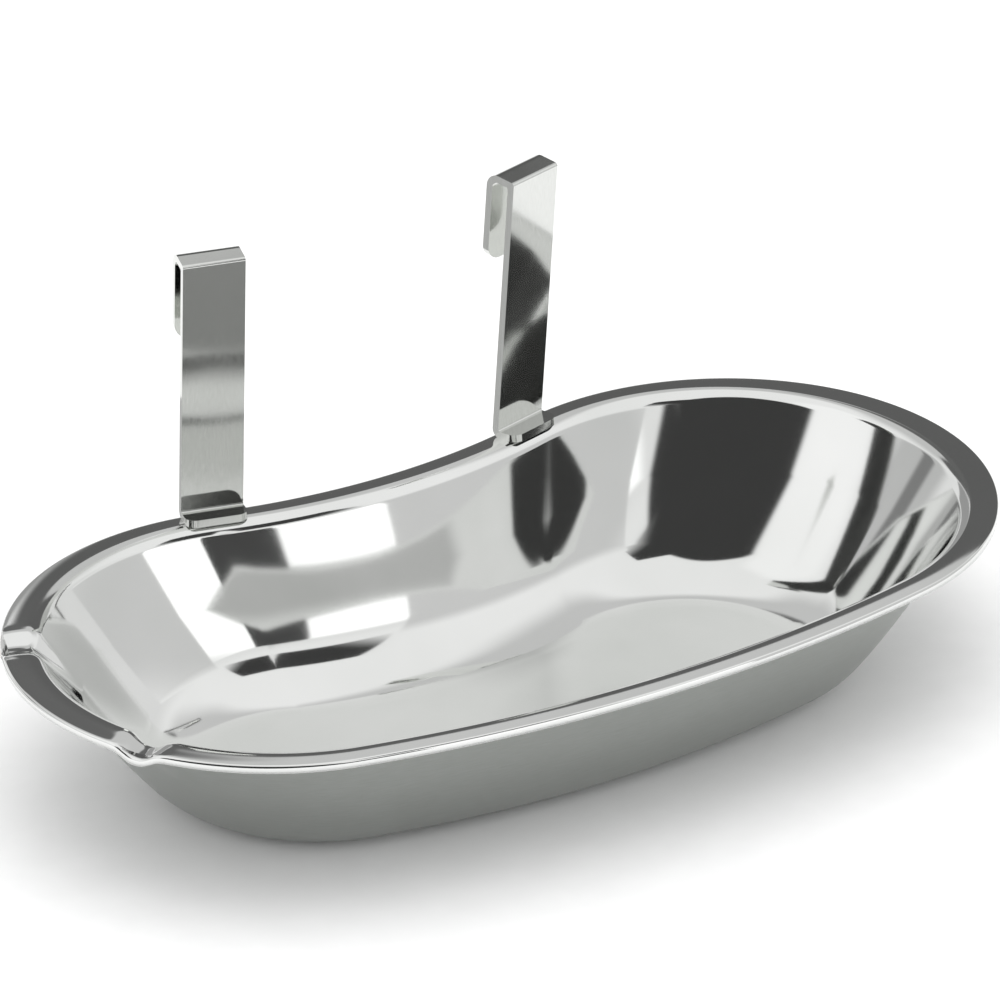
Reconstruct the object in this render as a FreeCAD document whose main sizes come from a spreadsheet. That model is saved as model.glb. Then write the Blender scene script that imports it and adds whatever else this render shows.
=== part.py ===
import FreeCAD, Part
import math
import os
import Sketcher
from FreeCAD import Placement, Rotation, Vector

# Kidney-shaped stainless steel basin that hangs by two bent flat-bar hooks.
# +X runs along the basin, +Y points to the hollow side that carries the hooks, +Z is up.
# The origin is on the underside of the flat base, midway between the centres of the two round ends.

DIMENSIONS = {
    # rim outline: two round ends, a long front arc and a hollow back arc, all tangent
    "rim_length": 415.0,
    "lobe_radius": 105.0,
    "front_radius": 553.0,
    "hollow_radius": 254.0,
    # pressed sheet
    "basin_depth": 67.0,
    "sheet_gauge": 1.0,
    "flange_rise": 0.9,
    "edge_drop": 3.0,
    "edge_round": 1.3,
    "wall_inset": 12.3,
    "wall_shift": -1.0,
    "sheet_offset": 1.15,
    "crest_round": 4.5,
    # flat base: the rim's arc centres drawn together by base_scale
    "base_scale": 0.764,
    "base_lobe_radius": 66.5,
    "base_shift": 1.7,
    "base_round": 22.0,
    # two channels pressed across the flange, one each side of the pouring lip
    "channel_angle": 31.0,
    "channel_radius": 4.0,
    "channel_sink": 0.4,
    "channel_length": 32.0,
    "channel_end_inset": 0.3,
    # hooks: one flat bar bent to a foot, an upright and a return leg
    "bar_width": 25.0,
    "bar_gauge": 3.0,
    "slot_gap": 8.0,
    "upright_length": 111.0,
    "leg_length": 39.5,
    "foot_length": 9.4,
    "heel_inset": 0.6,
    "hook_lean": 4.75,
    "hook_turn": 15.0,
    "left_hook_x": -71.6,
    "right_hook_x": 66.1,
    "crease_round": 1.2,
    "back_round": 6.0,
    "slot_round": 3.0,
    "bend_round": 0.8,
    "heel_round": 3.4,
    "tip_round": 7.0,
    "foot_round": 4.5,
    # plug welds that hold each foot, made from under the flange
    "weld_radius": 2.2,
    "weld_depth": 1.0,
    "weld_inset": 6.2,
    "weld_spacing": 12.0,
}

HALF_SPAN = "(dims.rim_length / 2 - dims.lobe_radius)"
HOLLOW_CENTRE = f"sqrt((dims.hollow_radius + dims.lobe_radius)^2 - {HALF_SPAN}^2)"
FLANGE_WIDTH_AT_HOOK = "(dims.wall_inset - dims.wall_shift)"
EDGE_TOP = "(dims.basin_depth - dims.flange_rise)"


def make_sheet(doc):
    """The spreadsheet of driving dimensions."""
    sheet = doc.addObject("Spreadsheet::Sheet", "dims")
    for row, (alias, number) in enumerate(DIMENSIONS.items(), start=1):
        sheet.set(f"A{row}", alias)
        sheet.set(f"B{row}", str(number))
        sheet.setAlias(f"B{row}", alias)
    doc.recompute()
    return sheet


def value(name):
    """A driving dimension, read back from the spreadsheet."""
    return float(FreeCAD.ActiveDocument.dims.get(name))


def new_body(doc, label):
    body = doc.addObject("PartDesign::Body", label)
    body.Label = label
    return body


def origin_plane(body, role):
    return next(item for item in body.Origin.OriginFeatures if item.Role == role)


def new_sketch(body, name, role, height=None, shift=None):
    """A sketch on one of the body's own planes, lifted and shifted by expressions."""
    sketch = body.newObject("Sketcher::SketchObject", name)
    sketch.AttachmentSupport = [(origin_plane(body, role), "")]
    sketch.MapMode = "FlatFace"
    if height:
        sketch.setExpression("AttachmentOffset.Base.z", height)
    if shift:
        sketch.setExpression("AttachmentOffset.Base.y", shift)
    return sketch


def bind(sketch, constraint, expression):
    """Adds one dimension to a sketch and ties it to the spreadsheet."""
    index = sketch.addConstraint(constraint)
    sketch.setExpression(f"Constraints[{index}]", expression)


def arc(centre, radius, start, end):
    return Part.ArcOfCircle(Part.Circle(centre, Vector(0, 0, 1), radius), start, end)


def draw_kidney(sketch, half_span, lobe, front, hollow):
    """Four tangent arcs. Each size is a pair: its present value and its expression."""
    c, r, rf, rb = half_span[0], lobe[0], front[0], hollow[0]
    front_y = math.sqrt((rf - r) ** 2 - c ** 2)
    back_y = math.sqrt((rb + r) ** 2 - c ** 2)
    low = math.atan2(-front_y, c)
    high = math.atan2(back_y, -c)
    right_end = sketch.addGeometry(arc(Vector(c, 0, 0), r, low, high))
    left_end = sketch.addGeometry(arc(Vector(-c, 0, 0), r, math.pi - high, math.pi - low))
    front_arc = sketch.addGeometry(arc(Vector(0, front_y, 0), rf, -math.pi - low, low))
    back_arc = sketch.addGeometry(arc(Vector(0, back_y, 0), rb, -high, high - math.pi))
    sketch.addConstraint(Sketcher.Constraint("Tangent", right_end, 1, front_arc, 2))
    sketch.addConstraint(Sketcher.Constraint("Tangent", right_end, 2, back_arc, 2))
    sketch.addConstraint(Sketcher.Constraint("Tangent", left_end, 1, back_arc, 1))
    sketch.addConstraint(Sketcher.Constraint("Tangent", left_end, 2, front_arc, 1))
    sketch.addConstraint(Sketcher.Constraint("PointOnObject", right_end, 3, -1))
    sketch.addConstraint(Sketcher.Constraint("Symmetric", left_end, 3, right_end, 3, -2))
    sketch.addConstraint(Sketcher.Constraint("Equal", left_end, right_end))
    bind(sketch, Sketcher.Constraint("DistanceX", -1, 1, right_end, 3, c), half_span[1])
    bind(sketch, Sketcher.Constraint("Radius", right_end, r), lobe[1])
    bind(sketch, Sketcher.Constraint("Radius", front_arc, rf), front[1])
    bind(sketch, Sketcher.Constraint("Radius", back_arc, rb), hollow[1])


def rim_outline(body, name, inset, height, shift=None):
    """The rim's outline moved inwards by inset, a number and its expression."""
    sketch = new_sketch(body, name, "XY_Plane", height, shift)
    span = value("rim_length") / 2 - value("lobe_radius")
    draw_kidney(
        sketch,
        (span, HALF_SPAN),
        (value("lobe_radius") - inset[0], f"dims.lobe_radius - {inset[1]}"),
        (value("front_radius") - inset[0], f"dims.front_radius - {inset[1]}"),
        (value("hollow_radius") + inset[0], f"dims.hollow_radius + {inset[1]}"),
    )
    return sketch


def base_outline(body, name, inset, height):
    """The base's outline, with the rim's arc centres scaled so that both share their tangents."""
    sketch = new_sketch(body, name, "XY_Plane", height, "dims.base_shift")
    scale = value("base_scale")
    span = (value("rim_length") / 2 - value("lobe_radius")) * scale
    lobe = value("base_lobe_radius")
    front = lobe + (value("front_radius") - value("lobe_radius")) * scale
    hollow = (value("hollow_radius") + value("lobe_radius")) * scale - lobe
    front_text = "dims.base_lobe_radius + (dims.front_radius - dims.lobe_radius) * dims.base_scale"
    hollow_text = "(dims.hollow_radius + dims.lobe_radius) * dims.base_scale - dims.base_lobe_radius"
    draw_kidney(
        sketch,
        (span, f"{HALF_SPAN} * dims.base_scale"),
        (lobe - inset[0], f"dims.base_lobe_radius - {inset[1]}"),
        (front - inset[0], f"{front_text} - {inset[1]}"),
        (hollow + inset[0], f"{hollow_text} + {inset[1]}"),
    )
    return sketch


def loft(body, name, kind, lower, upper):
    feature = body.newObject(f"PartDesign::{kind}Loft", name)
    feature.Profile = lower
    feature.Sections = [upper]
    feature.Ruled = True
    return feature


def extrude(body, name, kind, sketch, length, reverse=False, midplane=False):
    feature = body.newObject(f"PartDesign::{kind}", name)
    feature.Profile = sketch
    feature.setExpression("Length", length)
    feature.Reversed = reverse
    feature.Midplane = midplane
    return feature


def round_edges(doc, body, name, radius, wanted):
    """A fillet on every edge of the body's tip that the test function wanted accepts."""
    doc.recompute()
    tip = body.Tip
    names = [f"Edge{i + 1}" for i, edge in enumerate(tip.Shape.Edges) if wanted(edge)]
    if not names:
        raise RuntimeError(f"{body.Label}: no edge found for {name}")
    feature = body.newObject("PartDesign::Fillet", name)
    feature.Base = (tip, names)
    feature.setExpression("Radius", radius)
    doc.recompute()
    return feature


def is_level(edge, height):
    """True for an edge that lies flat at one height."""
    spots = [vertex.Z for vertex in edge.Vertexes] + [edge.CenterOfMass.z]
    return all(abs(spot - height) < 0.01 for spot in spots)


def flange_lid(body):
    """The flange as a thin lid: a gentle fall to the outside and a turned-down edge."""
    gauge = value("sheet_gauge")
    edge_foot = f"{EDGE_TOP} - dims.edge_drop"
    outer = rim_outline(body, "edge_outline", (0.0, "0"), edge_foot)
    extrude(body, "edge_disc", "Pad", outer, "dims.edge_drop")
    loft(
        body, "flange_top", "Additive",
        rim_outline(body, "flange_outline", (0.0, "0"), EDGE_TOP),
        rim_outline(body, "crest_outline", (value("wall_inset"), "dims.wall_inset"),
                    "dims.basin_depth", "dims.wall_shift"),
    )
    inside = (gauge, "dims.sheet_gauge")
    hollow = rim_outline(body, "edge_inside", inside, edge_foot)
    extrude(body, "edge_hollow", "Pocket", hollow, "dims.edge_drop - dims.sheet_gauge", True)
    loft(
        body, "flange_under", "Subtractive",
        rim_outline(body, "under_outline", inside, f"{EDGE_TOP} - dims.sheet_gauge"),
        rim_outline(body, "under_crest", (value("wall_inset"), "dims.wall_inset"),
                    "dims.basin_depth - dims.sheet_gauge", "dims.wall_shift"),
    )


def outer_wall(body):
    """The outside of the pressed dish, from the base up into the flange."""
    inset = value("wall_inset") - value("sheet_offset")
    loft(
        body, "outside", "Additive",
        base_outline(body, "outside_base", (0.0, "0"), None),
        rim_outline(body, "outside_top", (inset, "(dims.wall_inset - dims.sheet_offset)"),
                    "dims.basin_depth - dims.sheet_gauge / 2", "dims.wall_shift"),
    )


def inner_wall(body):
    """The inside of the pressed dish."""
    offset = (value("sheet_offset"), "dims.sheet_offset")
    loft(
        body, "inside", "Subtractive",
        base_outline(body, "inside_base", offset, "dims.sheet_gauge"),
        rim_outline(body, "inside_top", (value("wall_inset"), "dims.wall_inset"),
                    "dims.basin_depth", "dims.wall_shift"),
    )


def channel_plane(body, name, side):
    """An upright sketch inside the dish, facing out from the left end's centre along one channel."""
    sketch = new_sketch(body, name, "YZ_Plane")
    turn = side * value("channel_angle")
    sketch.AttachmentOffset = Placement(Vector(0, 0, 0), Rotation(Vector(0, 1, 0), 180.0 + turn))
    start = "(dims.lobe_radius - dims.channel_length)"
    angle = f"({side} * dims.channel_angle * 1 deg)"
    sketch.setExpression("AttachmentOffset.Base.x", f"-{start} * sin{angle}")
    sketch.setExpression("AttachmentOffset.Base.y", "dims.basin_depth - dims.channel_sink")
    sketch.setExpression("AttachmentOffset.Base.z", f"-{HALF_SPAN} - {start} * cos{angle}")
    return sketch


def channel_back(body, name, side):
    """The outside of a channel's trough: a half round bar under the flange."""
    sketch = channel_plane(body, f"{name}_outline", side)
    radius = value("channel_radius") + value("sheet_gauge")
    bow = sketch.addGeometry(arc(Vector(0, 0, 0), radius, math.pi, 2 * math.pi))
    flat = sketch.addGeometry(Part.LineSegment(Vector(radius, 0, 0), Vector(-radius, 0, 0)))
    sketch.addConstraint(Sketcher.Constraint("Coincident", bow, 2, flat, 1))
    sketch.addConstraint(Sketcher.Constraint("Coincident", bow, 1, flat, 2))
    sketch.addConstraint(Sketcher.Constraint("Coincident", bow, 3, -1, 1))
    sketch.addConstraint(Sketcher.Constraint("Horizontal", flat))
    sketch.addConstraint(Sketcher.Constraint("PointOnObject", -1, 1, flat))
    bind(sketch, Sketcher.Constraint("Radius", bow, radius), "dims.channel_radius + dims.sheet_gauge")
    extrude(body, name, "Pad", sketch, "dims.channel_length - dims.channel_end_inset")


def channel_cut(body, name, side):
    """The channel itself, open to the top and running out at both ends."""
    sketch = channel_plane(body, f"{name}_outline", side)
    bore = sketch.addGeometry(Part.Circle(Vector(0, 0, 0), Vector(0, 0, 1), value("channel_radius")))
    sketch.addConstraint(Sketcher.Constraint("Coincident", bore, 3, -1, 1))
    bind(sketch, Sketcher.Constraint("Radius", bore, value("channel_radius")), "dims.channel_radius")
    extrude(body, name, "Pocket", sketch, "dims.channel_length + dims.wall_inset", True)


def flange_slope():
    """How steeply the flange falls towards its edge where the hooks sit, in degrees."""
    return math.degrees(math.atan2(value("flange_rise"), value("wall_inset") - value("wall_shift")))


def hook_spot(x_name):
    """Expressions for the point of the rim's hollow arc at a hook's x."""
    return f"dims.{x_name}", f"{HOLLOW_CENTRE} - sqrt(dims.hollow_radius^2 - dims.{x_name}^2)"


def hook_place(x_name, side):
    """Where a hook stands: on the edge of the flange, turned to follow the hollow arc."""
    x = value(x_name)
    span = value("rim_length") / 2 - value("lobe_radius")
    centre = math.sqrt((value("hollow_radius") + value("lobe_radius")) ** 2 - span ** 2)
    y = centre - math.sqrt(value("hollow_radius") ** 2 - x ** 2)
    z = value("basin_depth") - value("flange_rise")
    return Placement(Vector(x, y, z), Rotation(Vector(0, 0, 1), side * value("hook_turn")))


def tilt_to_flange():
    return Placement(Vector(0, 0, 0), Rotation(Vector(1, 0, 0), -flange_slope()))


def draw_weld_circles(sketch):
    """Two circles side by side under a foot."""
    for side in (-1, 1):
        centre = Vector(side * value("weld_spacing") / 2, -value("weld_inset"), 0)
        circle = sketch.addGeometry(Part.Circle(centre, Vector(0, 0, 1), value("weld_radius")))
        bind(sketch, Sketcher.Constraint("Radius", circle, value("weld_radius")), "dims.weld_radius")
        bind(sketch, Sketcher.Constraint("DistanceX", -1, 1, circle, 3, centre.x),
             f"{side} * dims.weld_spacing / 2")
        bind(sketch, Sketcher.Constraint("DistanceY", -1, 1, circle, 3, centre.y), "-dims.weld_inset")


def weld_holes(body, name, x_name, side):
    """Holes through the flange for one foot's plug welds."""
    sketch = new_sketch(body, f"{name}_outline", "XY_Plane")
    draw_weld_circles(sketch)
    sketch.AttachmentOffset = hook_place(x_name, side).multiply(tilt_to_flange())
    spot_x, spot_y = hook_spot(x_name)
    sketch.setExpression("AttachmentOffset.Base.x", spot_x)
    sketch.setExpression("AttachmentOffset.Base.y", spot_y)
    sketch.setExpression("AttachmentOffset.Base.z", EDGE_TOP)
    extrude(body, name, "Pocket", sketch, "dims.sheet_gauge * 4", midplane=True)


def make_basin(doc):
    """One pressed sheet: dish, flange, turned-down edge and the two pouring channels."""
    body = new_body(doc, "basin")
    depth = value("basin_depth")
    gauge = value("sheet_gauge")
    edge_top = depth - value("flange_rise")
    flange_lid(body)
    round_edges(doc, body, "edge_rounding", "dims.edge_round",
                lambda edge: is_level(edge, edge_top))
    outer_wall(body)
    channel_back(body, "left_channel_back", -1)
    channel_back(body, "front_channel_back", 1)
    inner_wall(body)
    round_edges(doc, body, "floor_rounding", "dims.base_round - dims.sheet_gauge",
                lambda edge: is_level(edge, gauge))
    round_edges(doc, body, "base_rounding", "dims.base_round",
                lambda edge: is_level(edge, 0.0))
    round_edges(doc, body, "crest_rounding", "dims.crest_round",
                lambda edge: is_level(edge, depth))
    channel_cut(body, "left_channel", -1)
    channel_cut(body, "front_channel", 1)
    weld_holes(body, "left_weld_holes", "left_hook_x", -1)
    weld_holes(body, "right_weld_holes", "right_hook_x", 1)
    doc.recompute()
    return body


def hook_corners():
    """Corners of the bent bar seen from its side, as (y, z), in order round the outline."""
    slope = math.radians(flange_slope())
    lean = math.radians(value("hook_lean"))
    gauge = value("bar_gauge")
    inwards = Vector(-math.cos(slope), math.sin(slope), 0)
    off_flange = Vector(math.sin(slope), math.cos(slope), 0)
    upwards = Vector(-math.sin(lean), math.cos(lean), 0)
    outwards = Vector(math.cos(lean), math.sin(lean), 0)
    heel = inwards * (value("heel_inset") / math.cos(slope))
    corner_angle = math.pi / 2 - slope - lean
    across = gauge / math.sin(corner_angle)
    bend = heel + inwards * across + upwards * across
    crease = bend + upwards * value("upright_length")
    slot_front = crease + outwards * gauge - upwards * gauge
    slot_back = slot_front + outwards * value("slot_gap")
    back_top = crease + outwards * (2 * gauge + value("slot_gap"))
    tip_back = back_top - upwards * value("leg_length")
    tip_front = tip_back - outwards * gauge
    toe_top = bend + inwards * value("foot_length")
    toe = toe_top - off_flange * gauge
    return [toe, heel, slot_front, slot_back, tip_front, tip_back, back_top, crease, bend, toe_top]


def draw_hook(sketch):
    """The bar's side view: ten straight sides, tied to the spreadsheet."""
    corners = hook_corners()
    count = len(corners)
    side = [sketch.addGeometry(Part.LineSegment(corners[i], corners[(i + 1) % count]))
            for i in range(count)]
    sole, outer_face, ceiling, leg_front, tip, leg_back, top, front_face, foot_top, toe = side
    for i in range(count):
        sketch.addConstraint(Sketcher.Constraint("Coincident", side[i], 2, side[(i + 1) % count], 1))
    for line in (outer_face, leg_front, leg_back):
        sketch.addConstraint(Sketcher.Constraint("Parallel", front_face, line))
    for line in (ceiling, tip, top):
        sketch.addConstraint(Sketcher.Constraint("Perpendicular", front_face, line))
    sketch.addConstraint(Sketcher.Constraint("Parallel", sole, foot_top))
    sketch.addConstraint(Sketcher.Constraint("Perpendicular", sole, toe))
    sketch.addConstraint(Sketcher.Constraint("PointOnObject", -1, 1, sole))
    gauge = value("bar_gauge")
    bind(sketch, Sketcher.Constraint("Distance", tip, gauge), "dims.bar_gauge")
    bind(sketch, Sketcher.Constraint("Distance", toe, gauge), "dims.bar_gauge")
    bind(sketch, Sketcher.Constraint("Distance", outer_face, 1, front_face, gauge), "dims.bar_gauge")
    bind(sketch, Sketcher.Constraint("Distance", ceiling, 1, top, gauge), "dims.bar_gauge")
    bind(sketch, Sketcher.Constraint("Distance", ceiling, value("slot_gap")), "dims.slot_gap")
    bind(sketch, Sketcher.Constraint("Distance", leg_back, value("leg_length")), "dims.leg_length")
    bind(sketch, Sketcher.Constraint("Distance", front_face, value("upright_length")),
         "dims.upright_length")
    bind(sketch, Sketcher.Constraint("Distance", foot_top, value("foot_length")), "dims.foot_length")
    bind(sketch, Sketcher.Constraint("DistanceX", sole, 2, -1, 1, value("heel_inset")),
         "dims.heel_inset")
    bind(sketch, Sketcher.Constraint("Angle", outer_face, math.radians(90 + value("hook_lean"))),
         "(90 + dims.hook_lean) * 1 deg")
    bind(sketch, Sketcher.Constraint("Angle", foot_top, math.radians(180 - flange_slope())),
         f"180 deg - atan(dims.flange_rise / {FLANGE_WIDTH_AT_HOOK})")
    return corners


def runs_across(edge, corner):
    """True for a straight edge along the bar's width through one corner of its side view."""
    box = edge.BoundBox
    near = abs(box.Center.y - corner.x) < 0.01 and abs(box.Center.z - corner.y) < 0.01
    return near and box.XLength > value("bar_width") / 2 and box.YLength < 0.01


def joins_corners(edge, one, two):
    """True for an edge across the bar's thickness, at either of its sides."""
    box = edge.BoundBox
    middle = (one + two) * 0.5
    near = abs(box.Center.y - middle.x) < 0.01 and abs(box.Center.z - middle.y) < 0.01
    return near and box.XLength < 0.01


def make_hook(doc, label, x_name, side):
    """One flat bar, bent: foot on the flange, leaning upright, slot and return leg."""
    body = new_body(doc, label)
    sketch = new_sketch(body, f"{label}_side", "YZ_Plane")
    corners = draw_hook(sketch)
    toe, heel, slot_front, slot_back, tip_front, tip_back, back_top, crease, bend, toe_top = corners
    extrude(body, f"{label}_bar", "Pad", sketch, "dims.bar_width", midplane=True)
    for name, corner, radius in (
        ("crease", crease, "crease_round"),
        ("back_bend", back_top, "back_round"),
        ("slot_back", slot_back, "slot_round"),
        ("slot_front", slot_front, "bend_round"),
        ("foot_bend", bend, "bend_round"),
        ("heel", heel, "heel_round"),
    ):
        round_edges(doc, body, f"{label}_{name}", f"dims.{radius}",
                    lambda edge, corner=corner: runs_across(edge, corner))
    round_edges(doc, body, f"{label}_tip", "dims.tip_round",
                lambda edge: joins_corners(edge, tip_front, tip_back))
    round_edges(doc, body, f"{label}_toe", "dims.foot_round",
                lambda edge: joins_corners(edge, toe, toe_top))
    recess = new_sketch(body, f"{label}_weld_outline", "XY_Plane")
    draw_weld_circles(recess)
    recess.AttachmentOffset = tilt_to_flange()
    extrude(body, f"{label}_weld_recess", "Pocket", recess, "dims.weld_depth", True)
    body.Placement = hook_place(x_name, side)
    spot_x, spot_y = hook_spot(x_name)
    body.setExpression("Placement.Base.x", spot_x)
    body.setExpression("Placement.Base.y", spot_y)
    body.setExpression("Placement.Base.z", EDGE_TOP)
    doc.recompute()
    return body


def make_weld(doc, label, x_name, side, along):
    """A plug weld: fills one hole of the flange and bites into the foot above it."""
    weld = doc.addObject("Part::Cylinder", label)
    weld.Label = label
    weld.setExpression("Radius", "dims.weld_radius")
    weld.setExpression("Height", "dims.sheet_gauge + dims.weld_depth")
    spot = Vector(along * value("weld_spacing") / 2, -value("weld_inset"), -value("sheet_gauge"))
    on_flange = hook_place(x_name, side).multiply(tilt_to_flange())
    weld.Placement = on_flange.multiply(Placement(spot, Rotation()))
    doc.recompute()
    return weld


def check_document(doc, pieces):
    """Stops if any object failed or any piece is empty, broken or in several lumps."""
    for item in doc.Objects:
        if "Invalid" in item.State or "Error" in item.State:
            raise RuntimeError(f"{item.Name} failed: {item.State}")
    for piece in pieces:
        shape = piece.Shape
        if shape.isNull() or not shape.isValid() or len(shape.Solids) != 1:
            raise RuntimeError(f"{piece.Label} is not one valid solid")
        box = shape.BoundBox
        print(f"{piece.Label}: {shape.Volume:.1f} mm3,",
              f"x {box.XMin:.2f} {box.XMax:.2f}, y {box.YMin:.2f} {box.YMax:.2f},",
              f"z {box.ZMin:.2f} {box.ZMax:.2f}")


def main():
    doc = FreeCAD.newDocument("hanging_basin")
    make_sheet(doc)
    pieces = [make_basin(doc)]
    for label, x_name, side in (("left_hook", "left_hook_x", -1), ("right_hook", "right_hook_x", 1)):
        pieces.append(make_hook(doc, label, x_name, side))
        for along, place in ((-1, "a"), (1, "b")):
            pieces.append(make_weld(doc, f"{label}_weld_{place}", x_name, side, along))
    check_document(doc, pieces)
    os.makedirs("parts", exist_ok=True)
    for piece in pieces:
        piece.Shape.exportStep(f"parts/{piece.Label}.step")


main()
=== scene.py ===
import math
import bmesh
import bpy
from mathutils import Matrix, Vector


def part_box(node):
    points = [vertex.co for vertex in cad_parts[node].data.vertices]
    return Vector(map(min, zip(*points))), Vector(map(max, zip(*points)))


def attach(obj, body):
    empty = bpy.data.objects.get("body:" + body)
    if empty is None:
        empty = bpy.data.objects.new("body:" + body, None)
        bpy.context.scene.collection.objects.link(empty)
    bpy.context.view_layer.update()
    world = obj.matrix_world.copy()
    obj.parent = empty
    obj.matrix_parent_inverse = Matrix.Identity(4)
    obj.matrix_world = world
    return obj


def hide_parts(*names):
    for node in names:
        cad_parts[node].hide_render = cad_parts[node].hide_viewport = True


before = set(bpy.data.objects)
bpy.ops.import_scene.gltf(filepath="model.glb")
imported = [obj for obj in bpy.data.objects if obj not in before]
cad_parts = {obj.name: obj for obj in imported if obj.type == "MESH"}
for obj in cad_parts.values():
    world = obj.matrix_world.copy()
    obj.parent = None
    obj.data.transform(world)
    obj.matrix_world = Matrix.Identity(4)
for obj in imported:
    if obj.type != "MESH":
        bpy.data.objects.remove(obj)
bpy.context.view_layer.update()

MM = 0.001

# ---- the basin's outline and profile, in millimetres as in the CAD frame ----
BASIN_LOW, BASIN_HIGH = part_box("basin")
RIM_LENGTH = (BASIN_HIGH.x - BASIN_LOW.x) / MM
DEPTH = BASIN_HIGH.z / MM
LOBE_RADIUS = 105.0
FRONT_RADIUS = 553.0
HOLLOW_RADIUS = 254.0
BASE_SCALE = 0.764
BASE_LOBE_RADIUS = 66.5
BASE_SHIFT = 1.7
BACK_INSET = 5.0
GAUGE = 1.0
SHEET_OFFSET = 1.15
FLANGE_RISE = 0.9
WALL_INSET = 12.3
WALL_SHIFT = -1.0
EDGE_DROP = 3.0
EDGE_ROUND = 1.3
CREST_ROUND = 7.0
BASE_ROUND = 34.0
WALL_BULGE = 2.5
BULGE_SHARE = 0.6
WALL_ARC_SHARE = 0.96
RIGHT_END_INSET = 3.0
LEFT_END_INSET = 1.3
CHANNEL_ANGLE = 28.5
CHANNEL_DEPTH = 3.6
CHANNEL_HALF_WIDTH = 7.0
CHANNEL_POWER = 2.6
CHANNEL_FADE = 15.0
CHANNEL_FADE_FROM = 4.0

# The turned edge, which the channels press straight down: its steepness, height and points.
LIP_STEEPNESS = 0.8
LIP_HEIGHT = 6.0
LIP_POINTS = 12

# How finely the outline is cut, in millimetres along the rim; the end with the channels is cut finer.
OUTLINE_SPACING = 2.5
CHANNEL_END_SPACING = 0.9

# Points of each part of the profile, on the upper and on the under side of the sheet.
UPPER_STEPS = {"edge": 7, "flange": 14, "crest": 12, "wall": 26, "corner": 22}
UNDER_STEPS = {"flange": 10, "crest": 8, "wall": 16, "corner": 18}
FLOOR_RUN = 30.0

# The floor's rings, each nearer to the middle line of the floor than the one before.
FLOOR_RINGS = 4
FLOOR_RING_SCALE = 0.8
FLOOR_LINE_SHARE = 0.7
FLOOR_LINE_Y = 6.0


def arc_table():
    """The four arcs of the outline: centre, radius at the rim and base, side, angles and spacing."""
    span = RIM_LENGTH / 2 - LOBE_RADIUS
    front_y = math.sqrt((FRONT_RADIUS - LOBE_RADIUS) ** 2 - span ** 2)
    back_y = math.sqrt((HOLLOW_RADIUS + LOBE_RADIUS) ** 2 - span ** 2)
    low = math.atan2(-front_y, span)
    high = math.atan2(back_y, -span)
    base_front = BASE_LOBE_RADIUS + (FRONT_RADIUS - LOBE_RADIUS) * BASE_SCALE
    base_hollow = (HOLLOW_RADIUS + LOBE_RADIUS) * BASE_SCALE - BASE_LOBE_RADIUS
    return [
        # centre x, centre y, rim radius, base radius, side, start, end, spacing
        (span, 0.0, LOBE_RADIUS, BASE_LOBE_RADIUS, 1, low, high, OUTLINE_SPACING),
        (0.0, back_y, HOLLOW_RADIUS, base_hollow, -1, high - math.pi, -high, OUTLINE_SPACING),
        (-span, 0.0, LOBE_RADIUS, BASE_LOBE_RADIUS, 1, math.pi - high, math.pi - low,
         CHANNEL_END_SPACING),
        (0.0, front_y, FRONT_RADIUS, base_front, 1, -math.pi - low, low, OUTLINE_SPACING),
    ]


class Station:
    """One place along the outline, with its points on the rim and on the base."""

    def __init__(self, arc, angle):
        x, y, self.rim, self.base, self.side = arc[:5]
        self.centre = Vector((x, y, 0.0))
        self.base_centre = Vector((x * BASE_SCALE, y * BASE_SCALE + BASE_SHIFT, 0.0))
        self.ray = Vector((math.cos(angle), math.sin(angle), 0.0))
        end = self.ray.x if x * self.ray.x >= 0 and self.side > 0 else 0.0
        self.end_inset = (RIGHT_END_INSET if end > 0 else LEFT_END_INSET) * end * end

    def at_rim(self, inset, height):
        return self.centre + self.ray * (self.rim - self.side * inset) + Vector((0, 0, height))

    def at_crest(self, inset, height):
        return self.at_rim(inset + self.end_inset, height) + Vector((0, WALL_SHIFT, 0))

    def at_base(self, inset, height):
        inset += BACK_INSET * max(0.0, self.ray.y * self.side)
        return self.base_centre + self.ray * (self.base - self.side * inset) + Vector((0, 0, height))

    def inwards(self):
        return self.ray * -self.side


def stations():
    """Places all round the outline, anticlockwise from the front of the right end."""
    places = []
    for arc in arc_table():
        start, end, spacing = arc[5:]
        steps = max(4, round(abs(end - start) * arc[2] / spacing))
        for i in range(steps):
            places.append(Station(arc, start + (end - start) * i / steps))
    return places


def rounded(before, corner, after, radius, steps):
    """Points of an arc that rounds a corner between two straight runs."""
    one = (before - corner).normalized()
    two = (after - corner).normalized()
    half = one.angle(two) / 2
    reach = radius / math.tan(half)
    middle = corner + (one + two).normalized() * (radius / math.sin(half))
    start = corner + one * reach - middle
    end = corner + two * reach - middle
    whole = start.angle(end)
    points = []
    for i in range(steps + 1):
        t = i / steps
        a = math.sin((1 - t) * whole) / math.sin(whole)
        b = math.sin(t * whole) / math.sin(whole)
        points.append(middle + start * a + end * b)
    return points


def crowned(start, end, steps):
    """Points of the flange from its crest to its edge: level at the crest, steeper outwards."""
    points = []
    for i in range(1, steps):
        t = i / steps
        point = start.lerp(end, t)
        point.z = start.z + (end.z - start.z) * t * t
        points.append(point)
    return points


def bulged(crest, corner, place):
    """The point that the wall bows out to, between its crest and its floor corner."""
    return crest.lerp(corner, BULGE_SHARE) - place.inwards() * WALL_BULGE


def wall_points(crest_end, middle, floor_start, steps):
    """The wall between its two roundings: two runs joined by one wide arc."""
    reach = WALL_ARC_SHARE * min((crest_end - middle).length, (floor_start - middle).length)
    half = (crest_end - middle).angle(floor_start - middle) / 2
    return rounded(crest_end, middle, floor_start, reach * math.tan(half), steps)


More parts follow.
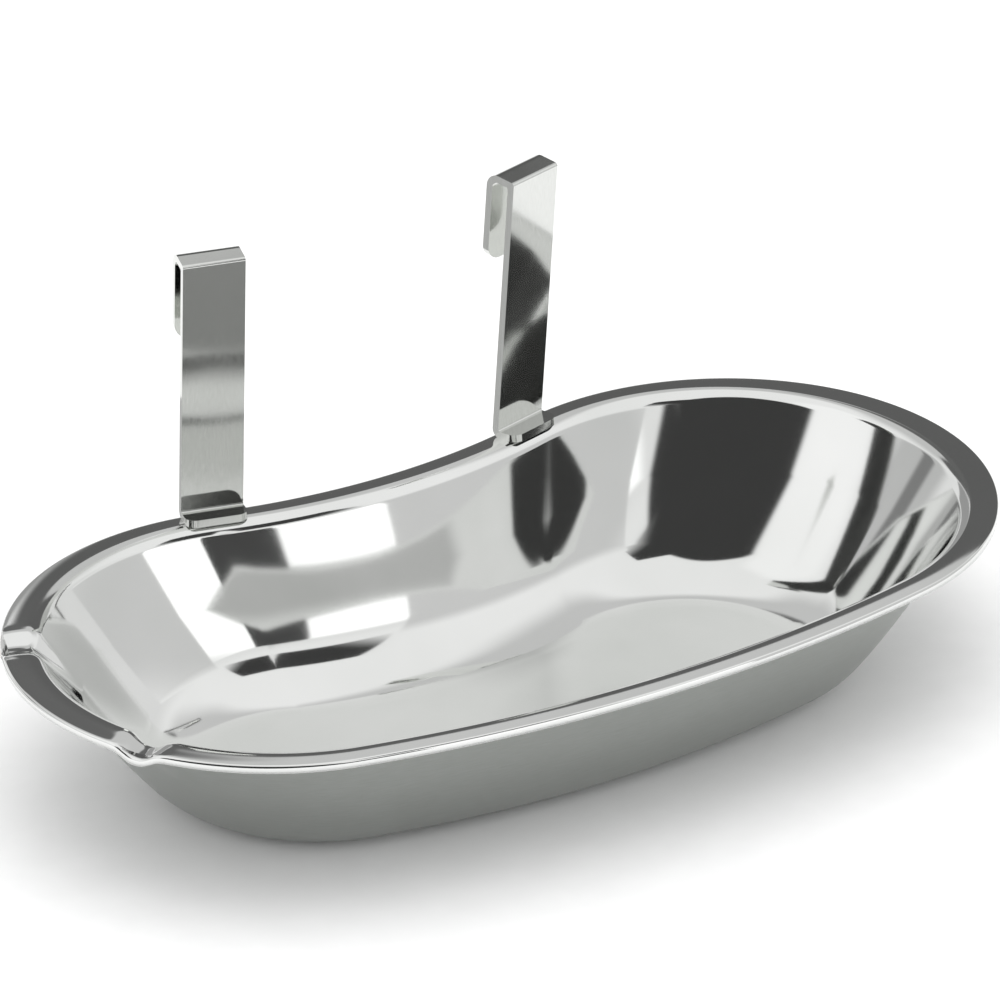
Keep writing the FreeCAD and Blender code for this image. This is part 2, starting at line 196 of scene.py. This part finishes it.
def upper_profile(place):
    """The upper side of the sheet, from the foot of the turned edge to the flat floor."""
    steps = UPPER_STEPS
    edge_top = DEPTH - FLANGE_RISE
    foot = place.at_rim(0, edge_top - EDGE_DROP)
    edge = place.at_rim(0, edge_top)
    crest = place.at_crest(WALL_INSET, DEPTH)
    corner = place.at_base(SHEET_OFFSET, GAUGE)
    level = crest - place.inwards() * WALL_INSET
    middle = bulged(crest, corner, place)
    crest_arc = rounded(level, crest, middle, CREST_ROUND, steps["crest"])
    flange = crowned(crest_arc[0], edge, steps["flange"])
    edge_arc = rounded(flange[-1], edge, foot, EDGE_ROUND, steps["edge"])
    inner = corner + place.inwards() * FLOOR_RUN
    floor_arc = rounded(middle, corner, inner, BASE_ROUND - GAUGE, steps["corner"])
    wall = wall_points(crest_arc[-1], middle, floor_arc[0], steps["wall"])
    # the rounded edge takes the place of the flange's last two points
    return [foot] + edge_arc[::-1] + flange[-3::-1] + crest_arc + wall + floor_arc


def lower_profile(place):
    """The under side of the sheet, from the flat base out to the foot of the turned edge."""
    steps = UNDER_STEPS
    edge_top = DEPTH - FLANGE_RISE
    foot = place.at_rim(GAUGE, edge_top - EDGE_DROP)
    edge = place.at_rim(GAUGE, edge_top - GAUGE)
    crest = place.at_crest(WALL_INSET - SHEET_OFFSET, DEPTH - GAUGE)
    corner = place.at_base(0, 0)
    level = crest - place.inwards() * WALL_INSET
    middle = bulged(crest, corner, place)
    crest_arc = rounded(level, crest, middle, CREST_ROUND - GAUGE, steps["crest"])
    flange = crowned(crest_arc[0], edge, steps["flange"])
    inner = corner + place.inwards() * FLOOR_RUN
    floor_arc = rounded(middle, corner, inner, BASE_ROUND, steps["corner"])
    wall = wall_points(crest_arc[-1], middle, floor_arc[0], steps["wall"])
    return floor_arc[::-1] + wall[::-1] + crest_arc[::-1] + flange + [edge, foot]


def channel_press(point, depth_along):
    """How deep the two channels press the sheet at a point, fading down the inside wall."""
    centre = Vector((-(RIM_LENGTH / 2 - LOBE_RADIUS), 0.0))
    flat = Vector((point.x, point.y)) - centre
    total = 0.0
    for side in (-1, 1):
        angle = math.radians(180 + side * CHANNEL_ANGLE)
        axis = Vector((math.cos(angle), math.sin(angle)))
        if flat.dot(axis) < 0:
            continue
        across = abs(flat.x * axis.y - flat.y * axis.x)
        fade = max(0.0, 1 - depth_along / CHANNEL_FADE)
        fade = fade * fade * (3 - 2 * fade)
        total += CHANNEL_DEPTH * math.exp(-(across / CHANNEL_HALF_WIDTH) ** CHANNEL_POWER) * fade
    return total


def below_crest(point):
    """How far down the wall a point lies, from where the channels begin to fade."""
    return max(0.0, DEPTH - CHANNEL_FADE_FROM - point.z)


def press_channels(rings):
    """Moves the points of every ring towards the under side where the channels run."""
    pressed = []
    for ring in rings:
        moved = []
        for i, point in enumerate(ring):
            before = ring[max(0, i - 1)]
            after = ring[min(len(ring) - 1, i + 1)]
            along = (after - before).normalized()
            out = along.cross(Vector((0, 0, 1)).cross(along)).normalized()
            down = -out if out.z > 0 else out
            on_lip = (abs(along.z) > LIP_STEEPNESS and point.z > DEPTH - LIP_HEIGHT
                      and i < LIP_POINTS)
            push = channel_press(point, below_crest(point))
            moved.append(point + (Vector((0, 0, -1)) if on_lip else down) * push)
        pressed.append(moved)
    return pressed


def floor_ring(mesh, loop):
    """The next ring of the floor, drawn in towards the floor's middle line."""
    ring = []
    for vert in loop:
        middle = Vector((vert.co.x * FLOOR_LINE_SHARE, FLOOR_LINE_Y * MM, 0))
        ring.append(mesh.verts.new((middle.x + (vert.co.x - middle.x) * FLOOR_RING_SCALE,
                                    middle.y + (vert.co.y - middle.y) * FLOOR_RING_SCALE,
                                    loop[0].co.z)))
    return ring


def shell_mesh(name, uppers, lowers):
    """A closed sheet from upper and lower profiles, one of each per station."""
    mesh = bmesh.new()
    count = len(uppers)
    rings = [lower + upper for lower, upper in zip(lowers, uppers)]
    lower_count = len(lowers[0])
    length = len(rings[0])
    grid = [[mesh.verts.new(point * MM) for point in ring] for ring in rings]
    for i in range(count):
        j = (i + 1) % count
        for k in range(length - 1):
            face = mesh.faces.new((grid[i][k], grid[j][k], grid[j][k + 1], grid[i][k + 1]))
            # the turned edge is polished on both sides
            face.material_index = 0 if k >= lower_count - 3 else 1
            face.smooth = True
    for end, index in ((0, 1), (length - 1, 0)):
        loop = [grid[i][end] for i in range(count)]
        for _ in range(FLOOR_RINGS):
            ring = floor_ring(mesh, loop)
            for i in range(count):
                j = (i + 1) % count
                quad = (loop[i], loop[j], ring[j], ring[i])
                face = mesh.faces.new(quad if end else quad[::-1])
                face.material_index = index
                face.smooth = True
            loop = ring
        cap = mesh.faces.new(loop if end else loop[::-1])
        cap.material_index = index
        cap.smooth = True
    bmesh.ops.recalc_face_normals(mesh, faces=mesh.faces)
    data = bpy.data.meshes.new(name)
    mesh.to_mesh(data)
    mesh.free()
    piece = bpy.data.objects.new(name, data)
    bpy.context.scene.collection.objects.link(piece)
    return piece


def make_basin(inside, outside):
    places = stations()
    uppers = press_channels([upper_profile(place) for place in places])
    # turned round for the press, which counts the edge's points from the start of a ring
    lowers = press_channels([lower_profile(place)[::-1] for place in places])
    lowers = [lower[::-1] for lower in lowers]
    piece = shell_mesh("basin_sheet", uppers, lowers)
    piece.data.materials.append(inside)
    piece.data.materials.append(outside)
    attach(piece, "root")
    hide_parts("basin")


# ---- materials ----

def new_material(name):
    """A material with its node tree, and its main shader."""
    material = bpy.data.materials.new(name)
    material.use_nodes = True
    return material, material.node_tree, material.node_tree.nodes["Principled BSDF"]


def add_node(tree, kind, inputs=None, **settings):
    """A node with its settings, and its inputs either linked or set."""
    node = tree.nodes.new(kind)
    for key, value in settings.items():
        setattr(node, key, value)
    for key, value in (inputs or {}).items():
        if isinstance(value, bpy.types.NodeSocket):
            tree.links.new(value, node.inputs[key])
        else:
            node.inputs[key].default_value = value
    return node


def stretched_noise(tree, stretch, scale, detail=3.0):
    """Noise drawn out along an axis, in the object's own coordinates."""
    place = add_node(tree, "ShaderNodeTexCoord").outputs["Object"]
    mapped = add_node(tree, "ShaderNodeMapping", {"Vector": place, "Scale": stretch})
    noise_node = add_node(tree, "ShaderNodeTexNoise",
                          {"Vector": mapped.outputs["Vector"], "Scale": scale, "Detail": detail})
    return noise_node.outputs["Fac"]


def spread(tree, value, low, high):
    """Maps noise, which stays near the middle, to a range of values."""
    node = add_node(tree, "ShaderNodeMapRange",
                    {"Value": value, "From Min": 0.3, "From Max": 0.7, "To Min": low, "To Max": high})
    return node.outputs["Result"]


def tint(tree, value, dark, light):
    """A colour between two, chosen by a value from 0 to 1."""
    node = add_node(tree, "ShaderNodeMix", {"Factor": value, "A": (*dark, 1), "B": (*light, 1)},
                    data_type="RGBA")
    return node.outputs["Result"]


def bumps(tree, layers):
    """A normal from heights laid over each other: each is a height, its strength and its depth."""
    normal = None
    for height, strength, distance in layers:
        inputs = {"Height": height, "Strength": strength, "Distance": distance}
        if normal is not None:
            inputs["Normal"] = normal
        normal = add_node(tree, "ShaderNodeBump", inputs).outputs["Normal"]
    return normal


def polished_steel():
    """The inside and the flange: mirror polish with hairline marks and faint waves of the press."""
    material, tree, shader = new_material("polished_steel")
    shader.inputs["Metallic"].default_value = 1.0
    cloud = stretched_noise(tree, (1, 1, 1), 14.0)
    hair = stretched_noise(tree, (1.0, 7.0, 7.0), 900.0, 2.0)
    wave = stretched_noise(tree, (1, 1, 1), 9.0, 1.0)
    links = tree.links
    links.new(tint(tree, spread(tree, cloud, 0, 1), (0.74, 0.75, 0.735), (0.80, 0.805, 0.795)),
              shader.inputs["Base Color"])
    links.new(spread(tree, hair, 0.05, 0.09), shader.inputs["Roughness"])
    links.new(bumps(tree, [(wave, 0.25, 0.0012), (hair, 0.05, 0.00002)]), shader.inputs["Normal"])
    return material


def satin_steel_painted_shade():
    """The outside: a satin finish, brushed along the rim, with its base colour kept dark so that the
    pale table it mirrors comes out mid grey: painted shade on top of the finish's own tone.
    """
    material, tree, shader = new_material("satin_steel_painted_shade")
    shader.inputs["Metallic"].default_value = 1.0
    cloud = stretched_noise(tree, (1, 1, 2), 10.0)
    brush = stretched_noise(tree, (1, 1, 30), 160.0, 4.0)
    links = tree.links
    # painted shade: the dark base colour greys the mirrored table; the brushed streaks in it are the
    # finish's own tone
    links.new(tint(tree, spread(tree, brush, 0, 1), (0.37, 0.385, 0.365), (0.43, 0.445, 0.43)),
              shader.inputs["Base Color"])
    rough = add_node(tree, "ShaderNodeMath", {0: spread(tree, brush, 0.0, 0.08),
                                              1: spread(tree, cloud, 0.27, 0.34)}, operation="ADD")
    links.new(rough.outputs["Value"], shader.inputs["Roughness"])
    links.new(bumps(tree, [(brush, 0.12, 0.00004)]), shader.inputs["Normal"])
    return material


def bar_steel():
    """The hooks: flat bar, polished along its length."""
    material, tree, shader = new_material("bar_steel")
    shader.inputs["Metallic"].default_value = 1.0
    cloud = stretched_noise(tree, (1, 1, 0.5), 30.0)
    brush = stretched_noise(tree, (30, 30, 1), 120.0, 3.0)
    wave = stretched_noise(tree, (1, 1, 1), 22.0, 1.0)
    links = tree.links
    links.new(tint(tree, spread(tree, brush, 0, 1), (0.66, 0.67, 0.65), (0.73, 0.74, 0.72)),
              shader.inputs["Base Color"])
    rough = add_node(tree, "ShaderNodeMath", {0: spread(tree, brush, 0.0, 0.03),
                                              1: spread(tree, cloud, 0.05, 0.09)}, operation="ADD")
    links.new(rough.outputs["Value"], shader.inputs["Roughness"])
    links.new(bumps(tree, [(wave, 0.3, 0.0008), (brush, 0.05, 0.00002)]), shader.inputs["Normal"])
    return material


def weld_metal():
    """The plug welds under the flange: dull and grainy."""
    material, tree, shader = new_material("weld_metal")
    shader.inputs["Metallic"].default_value = 1.0
    grain = stretched_noise(tree, (1, 1, 1), 900.0, 4.0)
    links = tree.links
    links.new(tint(tree, spread(tree, grain, 0, 1), (0.42, 0.41, 0.40), (0.60, 0.59, 0.57)),
              shader.inputs["Base Color"])
    links.new(spread(tree, grain, 0.35, 0.6), shader.inputs["Roughness"])
    links.new(bumps(tree, [(grain, 0.4, 0.0001)]), shader.inputs["Normal"])
    return material


# ---- surroundings ----

FLOOR_HALF = 15.0


def make_floor():
    """A wide pale table."""
    half = FLOOR_HALF
    corners = [(-half, -half, 0), (half, -half, 0), (half, half, 0), (-half, half, 0)]
    mesh = bpy.data.meshes.new("floor")
    mesh.from_pydata(corners, [], [(0, 1, 2, 3)])
    floor = bpy.data.objects.new("floor", mesh)
    bpy.context.scene.collection.objects.link(floor)
    material, tree, shader = new_material("pale_table")
    speck = stretched_noise(tree, (1, 1, 1), 60.0)
    tree.links.new(tint(tree, spread(tree, speck, 0, 1), (0.90, 0.90, 0.90), (0.92, 0.92, 0.92)),
                   shader.inputs["Base Color"])
    shader.inputs["Roughness"].default_value = 0.9
    shader.inputs["Specular IOR Level"].default_value = 0.0
    mesh.materials.append(material)


# Each zone of the studio: azimuth of its middle and half its width, elevation of its middle and half
# its height, squareness, softness, light. Azimuth 0 is +Y and 90 is +X, in degrees.
STUDIO_ZONES = [
    # low haze
    (180.0, 181.0, 0.0, 24.0, 8.0, 0.35, 0.85),
    # back grey
    (30.0, 60.0, 44.0, 15.0, 4.0, 0.30, 0.66),
    # back flag
    (50.0, 26.0, 20.0, 14.0, 6.0, 0.08, 0.13),
    # back side grey
    (12.0, 12.0, 14.0, 11.0, 6.0, 0.08, 0.37),
    # back band
    (12.0, 18.0, 31.0, 5.0, 4.0, 0.2, 0.14),
    # back high
    (20.0, 9.0, 37.0, 9.0, 3.0, 0.3, 0.15),
    # side light
    (283.0, 22.0, 42.0, 20.0, 4.0, 0.25, 1.10),
    # side grey
    (325.0, 18.0, 14.0, 13.0, 4.0, 0.25, 0.60),
    # side dark
    (329.0, 4.0, 14.0, 9.0, 4.0, 0.35, 0.25),
    # window
    (163.0, 23.0, 10.0, 12.0, 8.0, 0.12, 1.45),
    # camera dark
    (224.0, 41.0, 20.0, 44.0, 2.1, 0.04, 0.05),
]
# Upright cards in front of the basin: the two ends, the lower and upper edge, how steeply their fade
# leans to +X, the two heights at x = 0 between which their light changes, and its two values.
STUDIO_CARDS = [
    ("grey_card", (0.155, -0.27), (0.75, -0.05), (0.0, 0.29), 0.0, (0.18, 0.29), (0.70, 1.0)),
    ("dark_card", (-0.40, -1.39), (0.08, -1.39), (0.0, 0.62), 0.0, (0.0, 0.62), (0.07, 0.07)),
    ("high_card", (-0.06, -0.37), (0.19, -0.37), (0.32, 0.64), 1.2, (0.06, 0.30), (1.0, 0.05)),
]
# A grey mat that lies on the table, with its height just above it and its light.
MAT_CORNERS = [(-0.46, 0.15), (-0.03, 0.33)]
MAT_HEIGHT = 0.002
MAT_LIGHT = 0.55
CEILING_LIGHT = 1.0
SOFTBOX_SIZE = 3.0
SOFTBOX_POWER = 22.0
SOFTBOX_HEIGHT = 2.6
SEEN_BACKGROUND = 1.1


def calculate(tree, operation, *values):
    """The result of a math node."""
    node = add_node(tree, "ShaderNodeMath", dict(enumerate(values)), operation=operation)
    return node.outputs["Value"]


def share_of_half(tree, offset, half, power):
    """How far an offset reaches towards a zone's edge, raised to the zone's squareness."""
    share = calculate(tree, "DIVIDE", offset, half)
    return calculate(tree, "POWER", calculate(tree, "ABSOLUTE", share), power)


def zone_mask(tree, azimuth, elevation, zone):
    """1 inside a zone of the studio and 0 outside, with a soft edge."""
    az, az_half, el, el_half, power, softness = zone
    turned = calculate(tree, "SUBTRACT", azimuth, az)
    turned = calculate(tree, "WRAP", turned, 180.0, -180.0)
    across = share_of_half(tree, turned, az_half, power)
    upward = calculate(tree, "SUBTRACT", elevation, el)
    along = share_of_half(tree, upward, el_half, power)
    reach = calculate(tree, "POWER", calculate(tree, "ADD", across, along), 1.0 / power)
    edge = add_node(tree, "ShaderNodeMapRange",
                    {"Value": reach, "From Min": 1 - softness, "From Max": 1 + softness,
                     "To Min": 1.0, "To Max": 0.0}, interpolation_type="SMOOTHSTEP")
    return edge.outputs["Result"]


def make_world():
    """A soft white studio with dark flags, seen only in reflections; the camera sees plain white."""
    world = bpy.data.worlds.new("studio")
    bpy.context.scene.world = world
    world.use_nodes = True
    tree = world.node_tree
    direction = add_node(tree, "ShaderNodeTexCoord").outputs["Generated"]
    parts = add_node(tree, "ShaderNodeSeparateXYZ", {"Vector": direction}).outputs
    degree = 180 / math.pi
    elevation = calculate(tree, "MULTIPLY", calculate(tree, "ARCSINE", parts["Z"]), degree)
    azimuth = calculate(tree, "MULTIPLY", calculate(tree, "ARCTAN2", parts["X"], parts["Y"]), degree)
    light = CEILING_LIGHT
    for *zone, zone_light in STUDIO_ZONES:
        mask = zone_mask(tree, azimuth, elevation, zone)
        layers = {"Factor": mask, "A": light, "B": zone_light}
        light = add_node(tree, "ShaderNodeMix", layers).outputs["Result"]
    glossy_ray = add_node(tree, "ShaderNodeLightPath").outputs["Is Glossy Ray"]
    seen = add_node(tree, "ShaderNodeMix", {"Factor": glossy_ray, "A": SEEN_BACKGROUND, "B": light})
    tree.links.new(seen.outputs["Result"], tree.nodes["Background"].inputs["Color"])


def make_card(name, corners, lean, fade, lights):
    """A card that only reflections show; its light changes with the height."""
    mesh = bpy.data.meshes.new(name)
    mesh.from_pydata(corners, [], [(0, 1, 2, 3)])
    card = bpy.data.objects.new(name, mesh)
    bpy.context.scene.collection.objects.link(card)
    card.visible_camera = False
    card.visible_diffuse = False
    card.visible_shadow = False
    material, tree, shader = new_material(name)
    shader.inputs["Base Color"].default_value = (0, 0, 0, 1)
    shader.inputs["Specular IOR Level"].default_value = 0.0
    place = add_node(tree, "ShaderNodeTexCoord").outputs["Object"]
    parts = add_node(tree, "ShaderNodeSeparateXYZ", {"Vector": place}).outputs
    level = calculate(tree, "SUBTRACT", parts["Z"], calculate(tree, "MULTIPLY", parts["X"], lean))
    share = add_node(tree, "ShaderNodeMapRange",
                     {"Value": level, "From Min": fade[0], "From Max": fade[1],
                      "To Min": 0.0, "To Max": 1.0},
                     interpolation_type="SMOOTHSTEP").outputs["Result"]
    first, second = lights
    tree.links.new(tint(tree, share, (first,) * 3, (second,) * 3), shader.inputs["Emission Color"])
    shader.inputs["Emission Strength"].default_value = 1.0
    mesh.materials.append(material)


def make_cards():
    """The upright cards before the basin, and a grey mat behind it that the hooks' sides mirror."""
    for name, start, end, (low, high), lean, fade, lights in STUDIO_CARDS:
        corners = [(*start, low), (*end, low), (*end, high), (*start, high)]
        make_card(name, corners, lean, fade, lights)
    (left, front), (right, back) = MAT_CORNERS
    corners = [(left, front, MAT_HEIGHT), (right, front, MAT_HEIGHT),
               (right, back, MAT_HEIGHT), (left, back, MAT_HEIGHT)]
    make_card("grey_mat", corners, 0.0, (0.0, 1.0), (MAT_LIGHT, MAT_LIGHT))


def make_softbox():
    """A wide overhead light for the table; polished metal doesn't mirror it."""
    data = bpy.data.lights.new("softbox", "AREA")
    data.shape = "DISK"
    data.size = SOFTBOX_SIZE
    data.energy = SOFTBOX_POWER
    lamp = bpy.data.objects.new("softbox", data)
    lamp.location = (0, 0, SOFTBOX_HEIGHT)
    lamp.visible_glossy = False
    bpy.context.scene.collection.objects.link(lamp)


CAMERA_AZIMUTH = -32.0
CAMERA_ELEVATION = 27.5
CAMERA_ROLL = -0.36
CAMERA_DISTANCE = 5.249
CAMERA_LENS = 487.5
CAMERA_TARGET = Vector((0.02786, 0.0473, 0.0663))


def make_camera():
    """The camera, at the photograph's viewing angle."""
    data = bpy.data.cameras.new("camera")
    data.lens = CAMERA_LENS
    data.clip_end = 100
    camera = bpy.data.objects.new("camera", data)
    bpy.context.scene.collection.objects.link(camera)
    a, e = math.radians(CAMERA_AZIMUTH), math.radians(CAMERA_ELEVATION)
    back = Vector((math.sin(a) * math.cos(e), -math.cos(a) * math.cos(e), math.sin(e)))
    camera.location = CAMERA_TARGET + back * CAMERA_DISTANCE
    facing = (-back).to_track_quat("-Z", "Y").to_matrix().to_4x4()
    roll = Matrix.Rotation(math.radians(CAMERA_ROLL), 4, "Z")
    camera.rotation_euler = (facing @ roll).to_euler()
    bpy.context.scene.camera = camera


def dress_cad_nodes():
    """The hooks and the welds stay as CAD nodes, with better materials."""
    bar = bar_steel()
    weld = weld_metal()
    for name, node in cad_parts.items():
        if name != "basin":
            node.data.materials.clear()
            node.data.materials.append(weld if "weld" in name else bar)


make_basin(polished_steel(), satin_steel_painted_shade())
dress_cad_nodes()
make_floor()
make_softbox()
make_cards()
make_camera()
make_world()
bpy.context.scene.view_settings.view_transform = "Standard"
